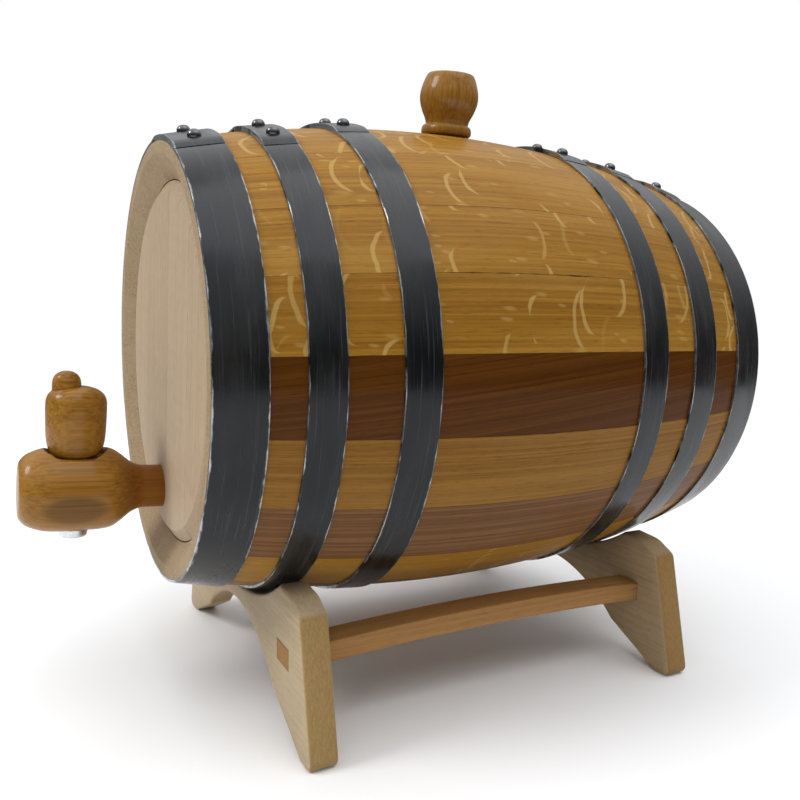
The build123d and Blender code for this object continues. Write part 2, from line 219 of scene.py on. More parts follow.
def smooth_profile(points, steps=8):
    """Catmull-Rom curve through (radius, height) points; a point given twice makes a corner."""
    made = []
    for i in range(len(points) - 1):
        p1, p2 = Vector(points[i]), Vector(points[i + 1])
        if (p2 - p1).length < 1e-6:
            continue
        p0 = Vector(points[i - 1]) if i else p1
        p3 = Vector(points[i + 2]) if i + 2 < len(points) else p2
        for s in range(steps):
            t = s / steps
            made.append(0.5 * (2 * p1 + (p2 - p0) * t + (2 * p0 - 5 * p1 + 4 * p2 - p3) * t ** 2
                               + (3 * p1 - p0 - 3 * p2 + p3) * t ** 3))
    made.append(Vector(points[-1]))
    return [(max(p.x, 0.01), p.y) for p in made]


def set_grain(piece, place, tone=1.0, red=0.0, seed=0.0, fleck=1.0, tint=None):
    """Stores where each point lies in its plank (across, along, depth) in millimetres, and the plank's tint.

    tint gives tone and redness from that place, for a piece whose tint changes over its surface."""
    mesh = piece.data
    mesh.attributes.new("grain", "FLOAT_VECTOR", "POINT")
    mesh.attributes.new("wood", "FLOAT_COLOR", "POINT")
    places = [place(vertex.co) for vertex in mesh.vertices]
    mesh.attributes["grain"].data.foreach_set("vector", [c for p in places for c in p])
    colours = []
    for p in places:
        here_tone, here_red = tint(p) if tint else (tone, red)
        colours += [here_tone, here_red, seed, fleck]
    mesh.attributes["wood"].data.foreach_set("color", colours)


def finish_piece(piece, body, material, slot, *nodes):
    piece.data.materials.clear()
    piece.data.materials.append(material)
    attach(piece, body)
    if nodes:
        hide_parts(*nodes)


# ---------------------------------------------------------------- materials
class Shader:
    """A node material built by short calls: sockets and numbers are given alike."""

    def __init__(self, name, **constants):
        self.material = bpy.data.materials.new(name)
        self.material.use_nodes = True
        self.tree = self.material.node_tree
        self.surface = self.tree.nodes["Principled BSDF"]
        for key, value in constants.items():
            self.surface.inputs[key.replace("_", " ")].default_value = value

    def put(self, socket, value):
        if isinstance(value, bpy.types.NodeSocket):
            self.tree.links.new(value, socket)
        elif value is not None:
            socket.default_value = value

    def node(self, kind, inputs=(), **settings):
        made = self.tree.nodes.new("ShaderNode" + kind)
        for key, value in settings.items():
            setattr(made, key, value)
        for key, value in dict(inputs).items():
            self.put(made.inputs[key], value)
        return made

    def math(self, operation, a, b=None):
        made = self.tree.nodes.new("ShaderNodeMath")
        made.operation = operation
        for i, value in enumerate((a, b)):
            self.put(made.inputs[i], value)
        return made.outputs[0]

    def scaled(self, vector, x, y, z, shift=None):
        out = self.node("VectorMath", {0: vector, 1: (x, y, z)}, operation="MULTIPLY").outputs[0]
        if shift is not None:
            out = self.node("VectorMath", {0: out, 1: shift}, operation="ADD").outputs[0]
        return out

    def noise(self, vector, detail=2.0, roughness=0.5):
        made = self.node("TexNoise", {"Vector": vector, "Scale": 1.0, "Detail": detail,
                                      "Roughness": roughness})
        return made.outputs[0]

    def between(self, value, low, high):
        """0 below low, 1 above high, smooth between them; the other way round if low is the larger."""
        made = self.node("MapRange", {0: value, 1: low, 2: high, 3: 0.0, 4: 1.0},
                         interpolation_type="SMOOTHSTEP")
        return made.outputs[0]

    def mix(self, share, a, b, blend="MIX"):
        made = self.tree.nodes.new("ShaderNodeMix")
        made.data_type = "RGBA"
        made.blend_type = blend
        self.put(made.inputs[0], share)
        self.put(made.inputs[6], a if isinstance(a, bpy.types.NodeSocket) else (*a, 1.0))
        self.put(made.inputs[7], b if isinstance(b, bpy.types.NodeSocket) else (*b, 1.0))
        return made.outputs[2]

    def colour(self, value):
        self.put(self.surface.inputs["Base Color"], value)

    def roughness(self, value):
        self.put(self.surface.inputs["Roughness"], value)

    def bump(self, height, distance, strength=1.0):
        made = self.node("Bump", {"Height": height, "Distance": distance, "Strength": strength})
        self.put(self.surface.inputs["Normal"], made.outputs[0])

    def cells(self, place, across, along, shift):
        """Scattered points: distance to the nearest, offset from it along the plank, three random numbers."""
        slope = self.node("VectorRotate", {"Vector": place, "Angle": 0.12}, rotation_type="Z_AXIS").outputs[0]
        stir = self.node("TexNoise", {"Vector": self.scaled(place, 0.06, 0.05, 0.0), "Scale": 1.0}).outputs[1]
        flat = self.scaled(slope, across, along, 0.0, self.scaled(stir, 0.30, 0.30, 0.0))
        flat = self.scaled(flat, 1.0, 1.0, 0.0, shift)
        cell = self.node("TexVoronoi", {"Vector": flat, "Scale": 1.0}, voronoi_dimensions="2D")
        here = self.node("SeparateXYZ", {0: flat}).outputs[1]
        middle = self.node("SeparateXYZ", {0: cell.outputs["Position"]}).outputs[1]
        chance = self.node("SeparateColor", {0: cell.outputs["Color"]}).outputs
        return cell.outputs["Distance"], self.math("SUBTRACT", here, middle), chance

    def arcs(self, place, shift):
        """Soft pale C shapes with tapering ends, 0 to 1."""
        distance, offset, chance = self.cells(place, 0.036, 0.060, shift)
        side = self.math("SIGN", self.math("SUBTRACT", chance[0], 0.72))
        facing = self.math("MULTIPLY", self.math("DIVIDE", offset, distance), side)
        radius = self.math("ADD", 0.24, self.math("MULTIPLY", chance[1], 0.26))
        width = self.math("MULTIPLY", self.between(facing, -0.15, 0.90), 0.062)
        away = self.math("ABSOLUTE", self.math("SUBTRACT", distance, radius))
        ring = self.between(self.math("SUBTRACT", width, away), 0.0, 0.030)
        return self.math("MULTIPLY", ring, self.between(chance[2], 0.38, 0.62))

    def dashes(self, place):
        """Small pale dashes leaning along the plank, 0 to 1."""
        distance, offset, chance = self.cells(place, 0.20, 0.065, (3.0, 8.0, 0.0))
        spot = self.between(distance, self.math("ADD", 0.12, self.math("MULTIPLY", chance[1], 0.20)), 0.07)
        return self.math("MULTIPLY", spot, self.between(chance[2], 0.60, 0.80))

    def plank(self):
        """The plank's own place in millimetres, shifted by its seed, and its tone, redness and flecks."""
        place = self.node("Attribute", attribute_name="grain").outputs["Vector"]
        tint = self.node("Attribute", attribute_name="wood")
        parts = self.node("SeparateColor", {0: tint.outputs["Color"]})
        seed = parts.outputs[2]
        shift = self.node("CombineXYZ", {0: self.math("MULTIPLY", seed, 331.0),
                                         1: self.math("MULTIPLY", seed, 1270.0),
                                         2: self.math("MULTIPLY", seed, 173.0)}).outputs[0]
        place = self.node("VectorMath", {0: place, 1: shift}, operation="ADD").outputs[0]
        return place, parts.outputs[0], parts.outputs[1], tint.outputs["Alpha"]


def wood_figure(shader, place, bend_size=1.2):
    """Growth lines, fibres, pores and slow drift of a piece of oak, each from 0 to 1."""
    drift = shader.noise(shader.scaled(place, 0.035, 0.006, 0.035), 2.0)
    bend = shader.noise(shader.scaled(place, 0.02, 0.006, 0.02), 2.0)
    shift = shader.node("CombineXYZ", {0: shader.math("MULTIPLY", bend, bend_size)}).outputs[0]
    bent = shader.scaled(place, 0.85, 0.0020, 0.85, shift)
    lines = shader.noise(bent, 3.0, 0.62)
    fibre = shader.noise(shader.scaled(place, 2.6, 0.045, 2.6), 4.0, 0.6)
    pores = shader.between(shader.noise(shader.scaled(place, 3.1, 0.17, 3.1), 1.0), 0.60, 0.70)
    return drift, lines, fibre, pores


def stave_material():
    """Lacquered oak: straight growth lines, fine fibre, and pale tapering ray flecks."""
    shader = Shader("stave_oak", Coat_Weight=0.13, Coat_Roughness=0.14, Specular_IOR_Level=0.03)
    place, tone, red, fleck_share = shader.plank()
    drift, lines, fibre, pores = wood_figure(shader, place)
    golden = shader.mix(shader.between(lines, 0.28, 0.70), (0.245, 0.109, 0.010), (0.375, 0.186, 0.025))
    drift_share = shader.math("MULTIPLY", shader.between(drift, 0.35, 0.7), 0.5)
    golden = shader.mix(drift_share, golden, (0.42, 0.232, 0.048))
    brown = shader.mix(shader.between(lines, 0.22, 0.78), (0.056, 0.016, 0.0012), (0.110, 0.037, 0.004))
    # Greyish tan: the wood's own duller tone, and on the lower staves in view partly painted reflection of the pale
    # floor.
    tan = shader.mix(shader.between(lines, 0.34, 0.66), (0.145, 0.066, 0.028), (0.205, 0.105, 0.046))
    base = shader.mix(tone, brown, golden)
    base = shader.mix(red, base, tan)
    shade = shader.between(fibre, 0.75, 0.30)
    base = shader.mix(shader.math("MULTIPLY", shade, 0.30), base, (0.60, 0.47, 0.36), "MULTIPLY")
    base = shader.mix(shader.math("MULTIPLY", pores, 0.35), base, (0.45, 0.33, 0.22), "MULTIPLY")
    # Medullary rays: tall soft arcs, and small dashes that lean along the stave.
    arcs = shader.math("MAXIMUM", shader.arcs(place, (0.0, 0.0, 0.0)), shader.arcs(place, (7.3, 2.9, 0.0)))
    rays = shader.math("MAXIMUM", arcs, shader.math("MULTIPLY", shader.dashes(place), 0.55))
    rays = shader.math("MULTIPLY", rays, fleck_share)
    base = shader.mix(shader.math("MULTIPLY", rays, 0.42), base, (0.60, 0.42, 0.15))
    shader.colour(base)
    shader.roughness(shader.math("ADD", 0.36, shader.math("MULTIPLY", fibre, 0.12)))
    height = shader.math("SUBTRACT", shader.math("MULTIPLY", fibre, 0.5), pores)
    shader.bump(height, 0.00008, 0.45)
    return shader.material


def raw_oak_material(name, pale, dark, rough=0.62, speck=0.35, end_grain=None, tinted=1.0):
    """Bare oak; end_grain colours faces cut across a plank along X, tinted is how far a low tone darkens."""
    shader = Shader(name, Specular_IOR_Level=0.14)
    place, tone = shader.plank()[:2]
    drift, lines, fibre, pores = wood_figure(shader, place)
    base = shader.mix(shader.between(lines, 0.30, 0.66), dark, pale)
    base = shader.mix(shader.math("MULTIPLY", shader.between(drift, 0.42, 0.7), 0.5), base, pale)
    fibre_share = shader.math("MULTIPLY", shader.between(fibre, 0.72, 0.32), 0.25)
    base = shader.mix(fibre_share, base, (0.72, 0.64, 0.55), "MULTIPLY")
    base = shader.mix(shader.math("MULTIPLY", pores, speck), base, (0.50, 0.38, 0.26), "MULTIPLY")
    if end_grain:
        normal = shader.node("NewGeometry").outputs["Normal"]
        facing = shader.math("ABSOLUTE", shader.node("SeparateXYZ", {0: normal}).outputs[0])
        cells = shader.noise(shader.scaled(place, 0.5, 0.5, 1.2), 4.0, 0.7)
        cut = shader.mix(shader.between(cells, 0.35, 0.65), [c * 0.80 for c in end_grain], end_grain)
        base = shader.mix(shader.between(facing, 0.35, 0.85), base, cut)
    duller = shader.math("MULTIPLY", shader.math("SUBTRACT", 1.0, tone), tinted)
    base = shader.mix(duller, base, (0.60, 0.42, 0.25), "MULTIPLY")
    shader.colour(base)
    shader.roughness(rough)
    height = shader.math("SUBTRACT", shader.math("MULTIPLY", fibre, 0.7), pores)
    shader.bump(height, 0.00015, 0.6)
    return shader.material


def turned_wood_material():
    """Varnished turned wood, darker where tone is low and redder where red is high."""
    shader = Shader("turned_wood", Coat_Weight=0.28, Coat_Roughness=0.10, Specular_IOR_Level=0.12)
    place, tone, red = shader.plank()[:3]
    drift, lines, fibre = wood_figure(shader, place, 2.5)[:3]
    base = shader.mix(shader.between(lines, 0.30, 0.70), (0.200, 0.083, 0.007), (0.355, 0.172, 0.022))
    drift_share = shader.math("MULTIPLY", shader.between(drift, 0.40, 0.65), 0.5)
    base = shader.mix(drift_share, base, (0.34, 0.172, 0.028))
    fibre_share = shader.math("MULTIPLY", shader.between(fibre, 0.7, 0.35), 0.3)
    base = shader.mix(fibre_share, base, (0.6, 0.45, 0.35), "MULTIPLY")
    base = shader.mix(shader.math("SUBTRACT", 1.0, tone), base, (0.34, 0.31, 0.33), "MULTIPLY")
    base = shader.mix(red, base, (0.70, 0.52, 0.26), "MULTIPLY")
    shader.colour(base)
    shader.roughness(0.40)
    shader.bump(fibre, 0.00006, 0.4)
    return shader.material


def hoop_material():
    """Dark coated steel, brushed round the hoop, with bare edges and a few scratches."""
    shader = Shader("hoop_steel", Specular_IOR_Level=0.34, IOR=1.5, Specular_Tint=(0.86, 0.92, 1.0, 1.0))
    strip = shader.node("Attribute", attribute_name="strip").outputs["Vector"]
    parts = shader.node("SeparateXYZ", {0: strip})
    streaks = shader.noise(shader.scaled(strip, 7.0, 0.020, 1.0), 4.0, 0.65)
    smudge = shader.noise(shader.scaled(strip, 0.8, 0.03, 1.0), 3.0, 0.55)
    base = shader.mix(shader.between(smudge, 0.35, 0.7), (0.0045, 0.0045, 0.0045), (0.013, 0.0122, 0.0105))
    scratches = shader.math("MULTIPLY", shader.between(streaks, 0.54, 0.80), 0.9)
    base = shader.mix(scratches, base, (0.060, 0.060, 0.060))
    across = parts.outputs[0]
    worn = shader.noise(shader.scaled(strip, 0.6, 0.10, 1.0), 3.0, 0.6)
    reach = shader.math("ADD", shader.math("ABSOLUTE", across), shader.math("MULTIPLY", worn, 0.24))
    wear = shader.noise(shader.scaled(strip, 0.05, 0.09, 1.0, (5.0, 9.0, 2.0)), 2.0)
    edge = shader.math("MULTIPLY", shader.between(reach, 1.06, 1.12), shader.between(wear, 0.32, 0.60))
    base = shader.mix(shader.math("MULTIPLY", edge, 0.8), base, (0.50, 0.50, 0.51))
    shader.colour(base)
    shader.put(shader.surface.inputs["Metallic"], edge)   # bare steel shows at the worn edges
    hazy = shader.math("MULTIPLY", shader.between(smudge, 0.35, 0.65), 0.12)
    brushed = shader.math("ADD", 0.06, shader.math("MULTIPLY", streaks, 0.24))
    shader.roughness(shader.math("ADD", hazy, brushed))
    shader.bump(shader.math("ADD", streaks, shader.math("MULTIPLY", smudge, 1.2)), 0.00008, 0.45)
    return shader.material


def metal_material(name, colour, rough):
    shader = Shader(name, Metallic=1.0)
    place = shader.node("TexCoord").outputs["Object"]
    marks = shader.noise(shader.scaled(place, 900.0, 900.0, 900.0), 3.0, 0.6)
    shader.colour(shader.mix(shader.between(marks, 0.3, 0.7), [c * 0.8 for c in colour], colour))
    shader.roughness(shader.math("ADD", rough, shader.math("MULTIPLY", marks, 0.15)))
    shader.bump(marks, 0.00008, 0.5)
    return shader.material


def cork_material():
    shader = Shader("cork")
    place = shader.node("TexCoord").outputs["Object"]
    cells = shader.noise(shader.scaled(place, 700.0, 700.0, 700.0), 3.0, 0.7)
    shader.colour(shader.mix(shader.between(cells, 0.35, 0.65), (0.22, 0.11, 0.05), (0.52, 0.34, 0.19)))
    shader.roughness(0.85)
    shader.bump(cells, 0.0002, 0.6)
    return shader.material


STAVE_OAK = stave_material()
CHIME_OAK = raw_oak_material("chime_oak", (0.40, 0.305, 0.19), (0.30, 0.215, 0.125), rough=0.7, speck=0.7,
                             tinted=0.12)
HEAD_OAK = raw_oak_material("raw_oak", (0.475, 0.375, 0.265), (0.43, 0.33, 0.225))
PLATE_OAK = raw_oak_material("stand_oak", (0.51, 0.405, 0.265), (0.44, 0.34, 0.205), rough=0.5, speck=0.25,
                             end_grain=(0.35, 0.225, 0.085))
RAIL_OAK = raw_oak_material("rail_oak", (0.38, 0.205, 0.075), (0.30, 0.15, 0.045), rough=0.65)
TURNED_WOOD = turned_wood_material()
HOOP_STEEL = hoop_material()
RIVET_STEEL = metal_material("rivet_steel", (0.13, 0.133, 0.137), 0.16)
SPOUT_METAL = metal_material("spout_metal", (0.75, 0.77, 0.80), 0.25)
CORK = cork_material()


# ---------------------------------------------------------------- staves
# Tone, redness and share of ray flecks of the staves, from the bung's stave round towards +X.
# Redness mixes in that greyish tan, which on the lower staves in view is partly painted reflection of the pale floor.
STAVE_TINTS = [(0.98, 0.0, 0.8), (1.0, 0.0, 0.9), (1.0, 0.0, 1.0), (0.98, 0.0, 1.0), (0.90, 0.0, 1.0),
               (0.02, 0.0, 0.0), (0.72, 0.15, 0.0), (0.30, 0.85, 0.0), (0.85, 0.0, 0.4), (0.60, 0.3, 0.2),
               (0.95, 0.0, 0.9), (0.75, 0.1, 0.5), (1.0, 0.0, 0.9), (0.45, 0.2, 0.1), (0.9, 0.0, 0.8),
               (0.8, 0.1, 0.6), (0.95, 0.0, 0.9), (0.55, 0.35, 0.1), (0.9, 0.0, 0.9), (1.0, 0.0, 0.7), (0.95, 0.0, 0.8)]
STAVE_STEPS = 96
LEANING_STAVE = 5   # the dark stave, whose grain runs out of line
GRAIN_LEAN = 0.10
STAVE_ACROSS = 8
# Seams that have opened and splintered: how far, in millimetres, and between which places along the barrel.
SPLINTERED = {4: (0.40, -48, 32), 6: (0.34, -30, 44)}


def seam_gap(seam, along):
    """How far a stave's edge stands back from the seam at a place along it."""
    gap = 0.012 + 0.02 * max(0.0, wobble(seam + 1, along * 0.05))
    if seam in SPLINTERED:
        size, first, last = SPLINTERED[seam]
        fade = min(1.0, max(0.0, min(along - first, last - along) / 12))
        opened = max(0.0, wobble(seam + 1, along * 0.06) + 0.25)
        chips = max(0.0, wobble(seam + 31, along * 0.30) - 0.10)
        gap += size * fade * (0.5 * opened + 1.5 * chips)
    return gap


def make_stave(index):
    """A stave between two seams, with bare wood on the chime and inside; the first has the bung hole."""
    start = SEAM_ANGLES[index]
    end = SEAM_ANGLES[(index + 1) % len(SEAM_ANGLES)]
    end += 360 if end < start else 0
    chime = HALF_LENGTH - CHIME_BEVEL_DEPTH
    places = [chime * (2 * i / STAVE_STEPS - 1) for i in range(STAVE_STEPS + 1)]
    places = [-HALF_LENGTH] + places + [HALF_LENGTH]
    sunk = 0.05 + 0.03 * wobble(index + 50, 0.4)
    rings = []
    for along in places:
        low = start + math.degrees(seam_gap(index, along) / outer_radius(along))
        high = end - math.degrees(seam_gap((index + 1) % len(SEAM_ANGLES), along) / outer_radius(along))
        angles = [low + (high - low) * i / STAVE_ACROSS for i in range(STAVE_ACROSS + 1)]
        dip = sunk + 0.03 * wobble(index + 70, along * 0.03)
        ring = [barrel_point(a, outer_radius(along) - dip, along) for a in angles]
        ring += [barrel_point(a, inner_radius(along), along) for a in angles[::-1]]
        rings.append(ring)
    piece = loft(f"stave_{index + 1:02d}_oak", rings)
    round_edges(piece, 0.14)
    middle = (start + end) / 2

    def place(point):
        angle, radius, along = barrel_place(point)
        across = math.radians((angle - middle + 180) % 360 - 180) * 100
        lean = GRAIN_LEAN * along if index == LEANING_STAVE else 0.0
        return across + lean, along, skin_radius(along) - radius

    if index == 0:
        combine(piece, bung_hole_cutter(), "DIFFERENCE")
    tone, red, fleck = STAVE_TINTS[index]
    set_grain(piece, place, tone, red, (index * 0.377) % 1.0, fleck)
    finish_piece(piece, "barrel", STAVE_OAK, "stave_oak", f"stave_{index + 1:02d}")
    piece.data.materials.append(CHIME_OAK)
    for face in piece.data.polygons:
        angle, radius, along = barrel_place(face.center)
        bare = skin_radius(along) - radius > 0.5
        face.material_index = 1 if bare or abs(face.normal.y) > 0.6 else 0


BUNG_SEAT = BILGE_RADIUS + 0.3
BUNG_AXIS = (Matrix.Translation(Vector((0, CENTRE_Y + BUNG_Y, AXIS_HEIGHT)) * MM)
             @ Matrix.Rotation(math.radians(BARREL_ROLL), 4, "Y")
             @ Matrix.Translation(Vector((0, 0, BUNG_SEAT)) * MM))


def bung_hole_cutter():
    return turned("bung_hole", [(0.01, -30), (8.06, -30), (10.14, 8), (0.01, 8)], BUNG_AXIS, 64)


# ---------------------------------------------------------------- hoops
def make_hoop(name, lap_angle):
    """A strip laid on the staves that climbs over its own start where it laps."""
    low, high = (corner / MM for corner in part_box(name))
    lo = low.y - CENTRE_Y
    hi = high.y - CENTRE_Y
    middle = (lo + hi) / 2
    seed = 100 + lo
    start = lap_angle - LAP_SPREAD
    sweep = 360 + 2 * LAP_SPREAD
    steps = 256
    climb = 5.0
    across = 6
    rings = []
    for i in range(steps + 1):
        turn = sweep * i / steps
        angle = start + turn
        share = min(1.0, max(0.0, (turn - 360 + climb) / climb))
        thickness = (HOOP_THICKNESS - 0.05) * min(1.0, 0.12 + 0.30 * (sweep - turn))
        lift = (HOOP_THICKNESS + 0.02) * share * share * (3 - 2 * share)
        ring_low = []
        ring_high = []
        for j in range(across + 1):
            along = lo + (hi - lo) * j / across
            if j in (0, across) and abs(along) < HALF_LENGTH - 0.5:
                along += 0.22 * wobble(seed + j, turn * 0.05)
            dent = 0.07 * wobble(seed, turn * 0.06, along * 0.09)
            base = skin_radius(along) + lift + dent
            ring_low.append(barrel_point(angle, base, along))
            ring_high.append(barrel_point(angle, base + thickness, along))
        rings.append(ring_low + ring_high[::-1])
    piece = loft(name + "_strip", rings)
    round_edges(piece, 0.22)
    places = []
    for vertex in piece.data.vertices:
        angle, radius, along = barrel_place(vertex.co)
        places += [(along - middle) / (hi - lo) * 2, math.radians(angle % 360) * 100, seed]
    piece.data.attributes.new("strip", "FLOAT_VECTOR", "POINT")
    piece.data.attributes["strip"].data.foreach_set("vector", places)
    finish_piece(piece, "barrel", HOOP_STEEL, "hoop_steel", name)
    make_rivets(name, middle, lap_angle)


def make_rivets(hoop, along, lap_angle):
    """Two domed heads on the hoop's lap."""
    dome = [(0.01, 2.40), (0.9, 2.32), (1.7, 2.02), (2.3, 1.45), (2.62, 0.8), (2.75, 0.15), (2.78, -0.3)]
    slope = math.atan2(outer_radius(along - 1) - outer_radius(along + 1), 2)
    heads = []
    for k, angle in enumerate((lap_angle - RIVET_SPREAD, lap_angle + RIVET_SPREAD)):
        place = (Matrix.Translation(Vector((0, CENTRE_Y, AXIS_HEIGHT)) * MM)
                 @ Matrix.Rotation(math.radians(angle), 4, "Y")
                 @ Matrix.Translation(Vector((0, along, outer_radius(along) + 2 * HOOP_THICKNESS)) * MM)
                 @ Matrix.Rotation(-slope, 4, "X"))
        heads.append(turned(f"{hoop}_rivet_{k}", smooth_profile(dome, 4), place, 40))
    combine(heads[0], heads[1], "UNION")
    piece = heads[0]
    piece.name = hoop + "_rivet_heads"
    smooth_faces(piece)
    finish_piece(piece, "barrel", RIVET_STEEL, "rivet_steel", hoop + "_rivets")


# ---------------------------------------------------------------- heads
def board_outline(left, right, radius):
    """Outline of one board of a head: two arcs of the head's edge and two straight joints."""
    lo = math.asin(max(-1.0, min(1.0, left / radius)))
    hi = math.asin(max(-1.0, min(1.0, right / radius)))
    steps = 24
    top = [(radius * math.sin(lo + (hi - lo) * k / steps), radius * math.cos(lo + (hi - lo) * k / steps))
           for k in range(steps + 1)]
    return top + [(x, -z) for x, z in top[::-1]]


def make_head(end, side):
    """Four boards side by side, chamfered round the outer face."""
    roll = math.radians(BARREL_ROLL)
    edges = [-HEAD_RADIUS] + HEAD_JOINTS + [HEAD_RADIUS]
    inner = HEAD_RADIUS - HEAD_CHAMFER_WIDTH
    for i in range(len(edges) - 1):
        left = edges[i] + (0.10 if i else 0.03)
        right = edges[i + 1] - (0.10 if i + 2 < len(edges) else 0.03)
        proud = 0.06 * wobble(i + 200, side * 0.7)
        rings = []
        for radius, depth in ((inner, proud), (HEAD_RADIUS, HEAD_CHAMFER_DEPTH),
                              (HEAD_RADIUS, HEAD_THICKNESS)):
            shrink = radius / HEAD_RADIUS
            outline = board_outline(left * shrink if i == 0 else left,
                                    right * shrink if i + 2 == len(edges) else right, radius)
            y = side * (HEAD_FACE - depth)
            rings.append([Vector((x * math.cos(roll) + z * math.sin(roll), CENTRE_Y + y,
                                  AXIS_HEIGHT - x * math.sin(roll) + z * math.cos(roll))) * MM
                          for x, z in outline])
        piece = loft(f"{end}_head_board_{i + 1}_oak", rings)
        round_edges(piece, 0.35)

        def place(point):
            x = point.x / MM
            z = point.z / MM - AXIS_HEIGHT
            return (x * math.cos(roll) - z * math.sin(roll), x * math.sin(roll) + z * math.cos(roll),
                    point.y / MM - CENTRE_Y)

        set_grain(piece, place, 0.9 + 0.1 * wobble(i + 300, 0.5), 0.0, (0.21 + i * 0.43 + side * 0.11) % 1.0)
        finish_piece(piece, "barrel", HEAD_OAK, "raw_oak", f"{end}_head_board_{i + 1}")


# ---------------------------------------------------------------- bung and tap
def local_grain(matrix, along="Z"):
    """Grain place in a turned piece: along its own axis, in millimetres."""
    back = matrix.inverted()

    def place(point):
        p = (back @ point) / MM
        if along == "Z":
            return p.x, p.z, p.y
        return p.x, p.y, p.z
    return place


def make_bung():
    profile = smooth_profile([(0.01, -22), (0.01, -22), (8.2, -22), (8.2, -22), (9.4, 0), (9.4, 0),
                              (11.0, 0.0), (11.7, 0.9), (11.75, 2.4), (11.3, 3.9), (10.3, 4.7), (10.0, 5.2),
                              (10.6, 7.4), (12.4, 11.2), (13.6, 15.6), (13.4, 19.8), (12.1, 24.2),
                              (11.0, 26.6), (10.2, 27.4), (9.4, 27.6), (9.4, 27.6), (0.01, 27.6)])
    piece = turned("bung_knob", profile, BUNG_AXIS)
    smooth_faces(piece, 50)
    set_grain(piece, local_grain(BUNG_AXIS), 1.0, 0.0, 0.31)
    finish_piece(piece, "bung", TURNED_WOOD, "turned_wood", "bung")


# The tap's own frame: Y outward along the stem, Z up the key, origin on the head's outer face.
tap_turn = math.radians(TAP_ROLL)
TAP_FRAME = (Matrix.Translation(Vector((-TAP_DROP * math.sin(tap_turn), CENTRE_Y - HEAD_FACE,
                                        AXIS_HEIGHT - TAP_DROP * math.cos(tap_turn))) * MM)
             @ Matrix.Rotation(math.radians(-TAP_TILT), 4, "X")
             @ Matrix.Rotation(math.pi, 4, "Z"))
KEY_FRAME = TAP_FRAME @ Matrix.Translation(Vector((0, KEY_DISTANCE, 0)) * MM)
STEM_FRAME = TAP_FRAME @ Matrix.Rotation(math.radians(-90), 4, "X")


def tap_tint(place):
    """Tone and redness in the tap's frame: a redder stem, and a darker worn oval on the body's +X side."""
    x, y, z = place
    stem = min(1.0, max(0.0, (TAP_BODY_START - y) / 9.0))
    outward = (y - TAP_OVAL_MIDDLE[0]) / TAP_OVAL_SIZE[0]
    upward = (z - TAP_OVAL_MIDDLE[1]) / TAP_OVAL_SIZE[1]
    oval = math.hypot(outward, upward)
    worn = min(1.0, max(0.0, (1.15 - oval) / 0.35)) if x < 0 else 0.0
    return 1.0 - 0.62 * worn, stem


def make_tap_body():
    profile = smooth_profile([(0.01, -20), (0.01, -20), (9.4, -20), (9.4, -20), (9.4, 0), (9.4, 6.5),
                              (9.7, 10.0), (11.4, 13.8), (14.6, 17.8), (17.0, TAP_BODY_START), (17.9, 26.5),
                              (18.1, 33.5), (18.1, 42.3), (17.6, 48.3), (16.2, 52.9), (14.6, 55.9),
                              (12.6, 57.7), (10.6, 58.5), (6.0, 58.75), (6.0, 58.75), (0.01, 58.75)])
    piece = turned("tap_body_wood", profile, STEM_FRAME)
    seat = turned("seat", [(0.01, KEY_SEAT_HEIGHT), (KEY_SEAT_RADIUS, KEY_SEAT_HEIGHT),
                           (KEY_SEAT_RADIUS, 30), (0.01, 30)], KEY_FRAME, 64)
    combine(piece, seat, "DIFFERENCE")
    hole = turned("hole", [(0.01, -25), (7.2, -25), (7.2, -8), (0.01, -8)], KEY_FRAME, 64)
    combine(piece, hole, "DIFFERENCE")
    smooth_faces(piece, 40)
    set_grain(piece, local_grain(TAP_FRAME, "Y"), seed=0.77, tint=tap_tint)
    finish_piece(piece, "barrel", TURNED_WOOD, "turned_wood", "tap_body")


def make_tap_key():
    base = KEY_SEAT_HEIGHT + 0.3
    top = base + KEY_HEAD_HEIGHT
    profile = smooth_profile([(0.01, -12), (0.01, -12), (5.4, -12), (5.4, -12), (6.3, base), (6.3, base),
                              (8.0, base), (9.2, base + 0.6), (10.5, base + 2.4), (11.5, base + 5.5),
                              (12.0, base + 10), (12.2, base + 16), (12.25, base + 21), (12.0, base + 24.2),
                              (10.9, base + 26.6), (8.8, base + 28.4), (5.6, base + 29.6),
                              (2.5, top), (0.01, top)])
    piece = turned("tap_key_wood", profile, KEY_FRAME)
    finial_frame = KEY_FRAME @ Matrix.Translation(Vector((0, FINIAL_OFFSET, 0)) * MM)
    knob = smooth_profile([(0.01, top - 5), (0.01, top - 5), (5.9, top - 5), (5.9, top - 5),
                           (5.75, top - 1.5), (5.75, top + 0.6), (5.4, top + 2.8), (4.4, top + 4.6),
                           (2.6, top + 5.8), (1.2, top + 6.2), (0.01, top + 6.2)])
    finial = turned("finial", knob, finial_frame, 64)
    combine(piece, finial, "UNION")
    smooth_faces(piece, 50)
    set_grain(piece, local_grain(KEY_FRAME, "Y"), 1.0, 0.0, 0.13)
    finish_piece(piece, "tap_key", TURNED_WOOD, "turned_wood", "tap_key")


def make_ferrule():
    end = FERRULE_TOP
    profile = [(2.5, end), (5.9, end), (5.9, end - 2.2), (5.6, end - 3.2), (4.9, end - 3.8), (4.0, end - 4.0),
               (3.1, end - 4.0), (2.6, end - 3.7), (2.5, end - 3.2)]
    rings = []
    for j in range(64):
        turn = 2 * math.pi * j / 64
        rings.append([KEY_FRAME @ (Vector((r * math.cos(turn), r * math.sin(turn), z)) * MM)
                      for r, z in profile])
    piece = loft("tap_spout_ring", rings, closed_path=True)
    smooth_faces(piece, 50)
    finish_piece(piece, "tap_key", SPOUT_METAL, "spout_metal", "tap_spout_ferrule")


